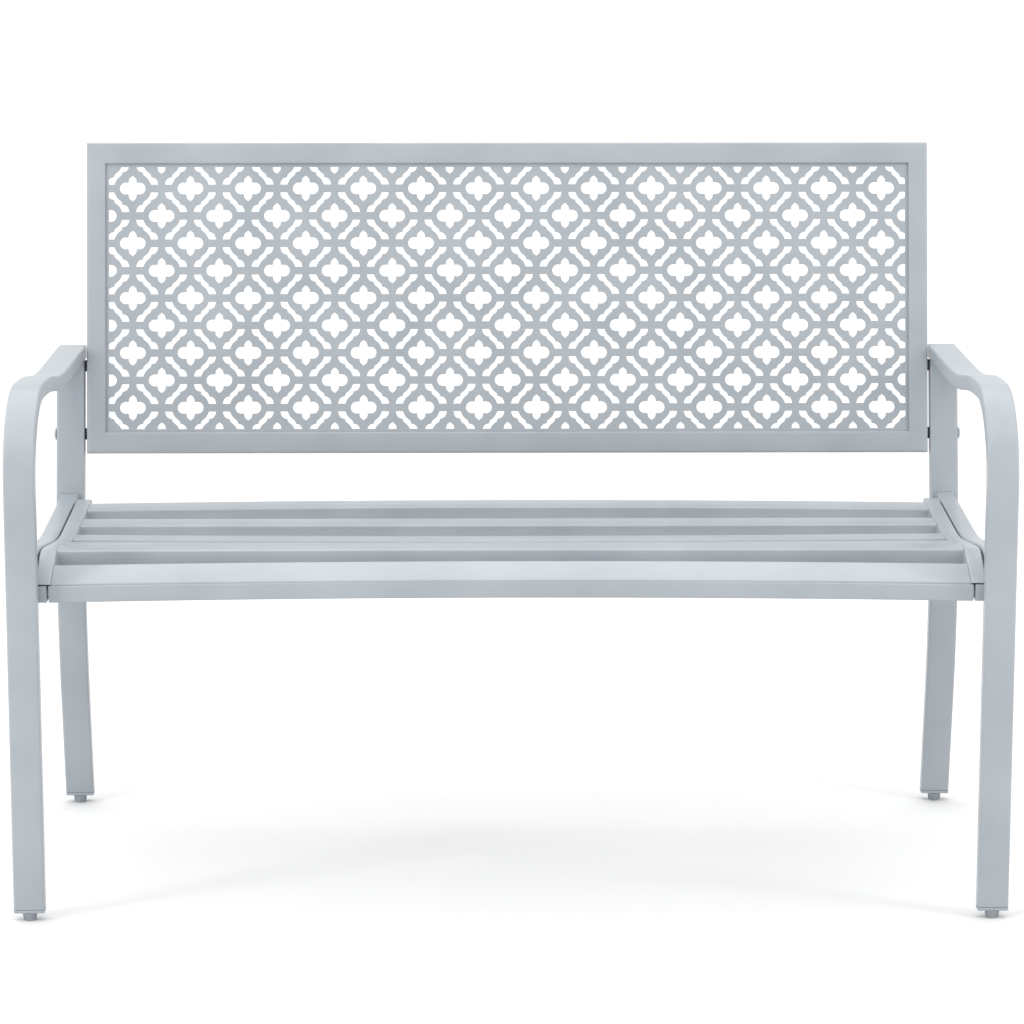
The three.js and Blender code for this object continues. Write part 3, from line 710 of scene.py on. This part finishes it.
def hexBolt(length):
    shank, flange = screw["shank"], hexHead["flange"]
    rim = hexHead["across"] / 2 - hexHead["flangeIn"]
    bm = turned([(0, -length), (shank, -length), (shank, 0), (rim, 0), (rim, flange), (0, flange)])
    corner = hexHead["across"] / math.sqrt(3)
    verts = bmesh.ops.create_circle(bm, cap_ends=True, segments=6, radius=corner)["verts"]
    bmesh.ops.translate(bm, vec=(0, 0, flange), verts=verts)
    pushOn(bm, verts[0].link_faces[0], Matrix.Translation((0, 0, hexHead["high"] - flange)))
    bmesh.ops.recalc_face_normals(bm, faces=bm.faces)
    return bm


# A stud with a true helical thread: each tooth meets the next one after a full turn.
def threaded(low, high, steps=24):
    bm = bmesh.new()
    pitch = screw["pitch"]
    teeth = round((high - low) / pitch) + 2
    verts = []
    for i in range(teeth):
        base = low + (i - 2) * pitch
        for key, rise in tooth:
            verts.append(bm.verts.new((screw[key], 0, base + rise * pitch)))
    edges = [bm.edges.new(pair) for pair in zip(verts, verts[1:])]
    last = bm.verts.new((screw["root"], 0, low + (teeth - 2) * pitch))
    edges.append(bm.edges.new((verts[-1], last)))
    bmesh.ops.spin(
        bm, geom=verts + [last] + edges, cent=(0, 0, 0), axis=(0, 0, 1), angle=math.tau, steps=steps,
        dvec=(0, 0, pitch / steps),
    )
    bmesh.ops.remove_doubles(bm, verts=bm.verts, dist=1e-3)
    sawn(bm, (0, 0, low), (0, 0, -1))
    sawn(bm, (0, 0, high), (0, 0, 1))
    bmesh.ops.recalc_face_normals(bm, faces=bm.faces)
    return bm


def nodeSpan(node):
    low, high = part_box(node)
    return low * 1000, high * 1000, (low + high) * 500


# A screw's place: under its head, on the outer side, and how long it is from there.
def screwPlace(node, sign, headHigh):
    low, high, middle = nodeSpan(node)
    outer, inner = (high.x, low.x) if sign > 0 else (-low.x, -high.x)
    return outwards(sign, Vector((sign * (outer - headHigh), middle.y, middle.z))), outer - inner - headHigh


def makeRing(node, kind, sign, name, slot):
    low, high, middle = nodeSpan(node)
    long = high.x - low.x
    profile = [(rings["hole"], 0), (rings[kind], 0), (rings[kind], long), (rings["hole"], long)]
    if kind == "insert":  # swaged out behind the tube's wall
        profile[2:2] = [(rings[key], long - back) for back, key in bulge]
    start = Vector((middle.x - sign * long / 2, middle.y, middle.z))
    ring = placed(turned(profile, ring=True), outwards(sign, start))
    finishPiece(ring, name, slot, [node], rounding=ringRounding[kind])


def makeBolts():
    for level in ("lower", "upper"):
        for side, sign in sides.items():
            where = f"{level}_{side}"
            place, length = screwPlace(f"back_bolt_{where}", sign, screw["high"])
            finishPiece(
                placed(domeBolt(length), place), f"dome_bolt_{where}", "powder_coat", [f"back_bolt_{where}"],
                rounding=screw["rounding"], crease=40,
            )
            makeRing(f"back_spacer_{where}", "spacer", sign, f"spacer_{where}", "black_rubber")
            makeRing(f"back_insert_{where}", "insert", sign, f"insert_{where}", "zinc")
    for end in ("front", "rear"):
        for side, sign in sides.items():
            where = f"{end}_{side}"
            place, length = screwPlace(f"seat_bolt_{where}", sign, hexHead["high"])
            finishPiece(
                placed(hexBolt(length), place), f"hex_bolt_{where}", "zinc", [f"seat_bolt_{where}"],
                rounding=hexHead["rounding"],
            )
            makeRing(f"seat_washer_{where}", "washer", sign, f"washer_{where}", "grey_plastic")


makeBolts()
print("screws made")

# Feet: a cap in each leg, a threaded stud, and a tapered pad with flutes to turn it by.
pad = {
    "top": 8.8, "belly": 7.8, "bottom": 6.3, "high": 9.6, "lip": 0.9, "lipOut": 0.1, "round": 1.4,
    "hollow": 0.5, "rim": 1.2, "hole": 3.4, "deep": 2.7, "flutes": 18, "fluteDeep": 0.7,
    "fluteEdge": 0.15, "rounding": 0.15,
}
cap = {"high": 4, "armFace": 1.7, "rounding": 0.8}


def makePad():
    lipUnder = pad["high"] - pad["lip"]
    shoulder = (pad["bottom"] + pad["belly"]) / 2 + pad["round"] / 4
    profile = [
        (0, pad["hollow"]), (pad["bottom"] - pad["rim"], pad["hollow"]),
        (pad["bottom"] - pad["rim"] + pad["hollow"], 0), (pad["bottom"], 0),
        (shoulder, pad["round"] / 3), (pad["belly"], pad["round"]), (pad["top"] - pad["lipOut"], lipUnder),
        (pad["top"], lipUnder), (pad["top"], pad["high"]), (pad["hole"], pad["high"]),
        (pad["hole"], pad["deep"]), (0, pad["deep"]),
    ]
    bm = turned(profile, steps=2 * pad["flutes"])
    flutes = []
    for face in bm.faces:
        middle = face.calc_center_median()
        outside = middle.xy.length > pad["bottom"] and pad["round"] < middle.z < lipUnder - pad["lipOut"]
        turn = math.atan2(middle.y, middle.x) % math.tau
        if outside and int(turn / math.tau * 2 * pad["flutes"]) % 2:
            flutes.append(face)
    bmesh.ops.inset_individual(bm, faces=flutes, thickness=pad["fluteEdge"], depth=-pad["fluteDeep"])
    return bm


def makeFoot(where):
    low, high, middle = nodeSpan(f"foot_stud_{where}")
    place = Matrix.Translation((middle.x, middle.y, 0))
    finishPiece(
        placed(makePad(), place), f"pad_{where}", "grey_plastic", [f"foot_pad_{where}"],
        body=f"foot_{where}", rounding=pad["rounding"],
    )
    finishPiece(
        placed(threaded(low.z, high.z), place), f"stud_{where}", "zinc", [f"foot_stud_{where}"],
        body=f"foot_{where}",
    )


# The part of a leg's cap that shows, cut level where the rear leg slopes.
def makeLegCap(where, slopes):
    low, _, middle = nodeSpan(f"leg_cap_{where}")
    thick = sideTube["thick"] / (math.cos(math.radians(rearRun["kick"])) if slopes else 1)
    capY = frontFace + shinY(armRun["foot"]) if slopes else low.y + thick / 2
    bm = bmesh.new()
    face = sectionFace(bm, dict(sideTube, thick=thick))
    placed(bm, Matrix.Translation((middle.x, capY, low.z)) @ Matrix.Rotation(math.pi / 2, 4, "Z"))
    pushOn(bm, face, Matrix.Translation((0, 0, cap["high"])))
    bmesh.ops.recalc_face_normals(bm, faces=bm.faces)
    finishPiece(bm, f"cap_{where}", "grey_plastic", [f"leg_cap_{where}"], rounding=cap["rounding"])


def makeArmPlug(side, sign):
    slope = math.atan2(armRun["rear"] - armRun["dip"], armRun["rearY"] - armRun["dipY"])
    end = point(armRun["rearY"], armRun["rear"] - half)
    along = point(math.cos(slope), math.sin(slope))
    plug = tubeAlong([end + along * gap, end + along * (cap["armFace"] + gap)], sideTube)
    placed(plug, Matrix.Translation((sign * legX, 0, 0)) @ acrossX)
    nodes = [f"arm_end_plug_{side}"]
    finishPiece(plug, f"arm_plug_{side}", "grey_plastic", nodes, rounding=cap["rounding"])


def makeFeet():
    for end in ("front", "rear"):
        for side in sides:
            makeFoot(f"{end}_{side}")
            makeLegCap(f"{end}_{side}", end == "rear")
    for side, sign in sides.items():
        makeArmPlug(side, sign)


makeFeet()
print("feet made")


# Weld beads, coated over with the tubes: round the slats' ends, the side rails' ends, and under the arms.
weld = {"proud": 0.2, "short": 3, "sideShort": 1.5, "railRise": 8, "crease": 60}


def seatWelds():
    bm = bmesh.new()
    deep, across = slatTube["thick"] / 2, slatTube["wide"] / 2
    edge, short, proud = across + weld["proud"], weld["short"], weld["proud"]
    for place in slatPlaces + [nosePlace]:
        spans = [((short - deep, -edge), (deep - short, -edge))]
        if place is not nosePlace:
            spans.append(((short - deep, edge), (deep - short, edge)))
            spans.append(((-deep - proud, short - across), (-deep - proud, across - short)))
        for sign in (-1, 1):
            for start, stop in spans:
                end = sign * slatHalf
                addBead(bm, place @ Vector((end, *start)), place @ Vector((end, *stop)))
    finishPiece(bm, "seat_welds", "powder_coat", crease=weld["crease"])


def frameWelds(side, sign):
    bm = bmesh.new()
    proud, rise = weld["proud"], weld["railRise"]
    reach = half / math.cos(math.radians(rearRun["recline"])) + proud
    deep, across = sideRailTube["thick"] / 2, sideRailTube["wide"] / 2
    rail = sideRailLine()
    x = sign * legX

    def tubeFace(z, end):
        return frontFace + (sideTube["thick"] + proud if end == "front" else uprightY(z) - reach)

    for end, middle in {"front": rail[0].y, "rear": rail[-1].y}.items():
        for z in (middle - deep, middle + deep):
            start = Vector((x - across + weld["sideShort"], tubeFace(z, end), z))
            addBead(bm, start, start + Vector((2 * (across - weld["sideShort"]), 0, 0)))
        for edge in (x - across, x + across):
            low, high = middle - rise, middle + rise
            addBead(bm, Vector((edge, tubeFace(low, end), low)), Vector((edge, tubeFace(high, end), high)))
    top = armRun["rear"] - sideTube["thick"] - proud
    wide = sideTube["wide"] / 2 - weld["short"]
    for shift in (-reach, reach):
        start = Vector((x - wide, frontFace + uprightY(top) + shift, top))
        addBead(bm, start, start + Vector((2 * wide, 0, 0)))
    finishPiece(bm, f"frame_welds_{side}", "powder_coat", crease=weld["crease"])


def makeWelds():
    seatWelds()
    for side, sign in sides.items():
        frameWelds(side, sign)


makeWelds()
print("welds made")


# Studio: a pale floor, a white room, a broad soft light overhead, and a tall soft light on each side.
floorSheet = {"colour": "#D7D7D7", "half": 60, "roughness": 0.7, "gloss": 0.2}
room = {"colour": (1, 1, 1, 1), "strength": 1.0}
overhead = {"power": 2.3, "softness": 95, "lean": (-3, -10), "place": (0, 0, 3)}
sideLights = {
    "left_light": {"place": (-2.6, -1.7, 1.3), "power": 28},
    "right_light": {"place": (2.6, -1.3, 1.3), "power": 22},
}
sideLight = {"aim": (0, 0.1, 0.5), "wide": 0.5, "high": 2.2}
view = {"place": (-0.0396, -4.3658, 1.2363), "pitch": 10.34, "turn": 0.564, "lens": 123.7}


def makeFloor():
    bm = bmesh.new()
    bmesh.ops.create_grid(bm, x_segments=8, y_segments=8, size=floorSheet["half"])
    mesh = bpy.data.meshes.new("floor")
    bm.to_mesh(mesh)
    bm.free()
    material, tree, _ = startMaterial("white_studio_floor")
    surface = {
        "Base Color": toLinear(floorSheet["colour"]), "Roughness": floorSheet["roughness"],
        "Specular IOR Level": floorSheet["gloss"],
    }
    endMaterial(tree, surface, {})
    mesh.materials.append(material)
    floor = bpy.data.objects.new("floor", mesh)
    bpy.context.scene.collection.objects.link(floor)


def hang(name, light, place, turn):
    holder = bpy.data.objects.new(name, light)
    holder.location = place
    holder.rotation_euler = turn
    holder.visible_camera = False
    bpy.context.scene.collection.objects.link(holder)


def hangLights():
    world = bpy.data.worlds.new("white_room")
    world.use_nodes = True
    background = world.node_tree.nodes["Background"]
    background.inputs["Color"].default_value = room["colour"]
    background.inputs["Strength"].default_value = room["strength"]
    bpy.context.scene.world = world
    sky = bpy.data.lights.new("overhead", "SUN")
    sky.energy = overhead["power"]
    sky.angle = math.radians(overhead["softness"])
    hang("overhead", sky, overhead["place"], [math.radians(a) for a in overhead["lean"]] + [0])
    for name, lamp in sideLights.items():
        light = bpy.data.lights.new(name, "AREA")
        light.shape = "RECTANGLE"
        light.size, light.size_y = sideLight["wide"], sideLight["high"]
        light.energy = lamp["power"]
        aim = Vector(sideLight["aim"]) - Vector(lamp["place"])
        hang(name, light, lamp["place"], aim.to_track_quat("-Z", "Y").to_euler())


def placeCamera():
    camera = bpy.data.objects.new("camera", bpy.data.cameras.new("camera"))
    camera.data.lens = view["lens"]
    camera.location = view["place"]
    camera.rotation_euler = (math.radians(90 - view["pitch"]), 0, math.radians(-view["turn"]))
    bpy.context.scene.collection.objects.link(camera)
    bpy.context.scene.camera = camera
    bpy.context.scene.view_settings.view_transform = "Standard"


makeFloor()
hangLights()
placeCamera()
print("studio made")
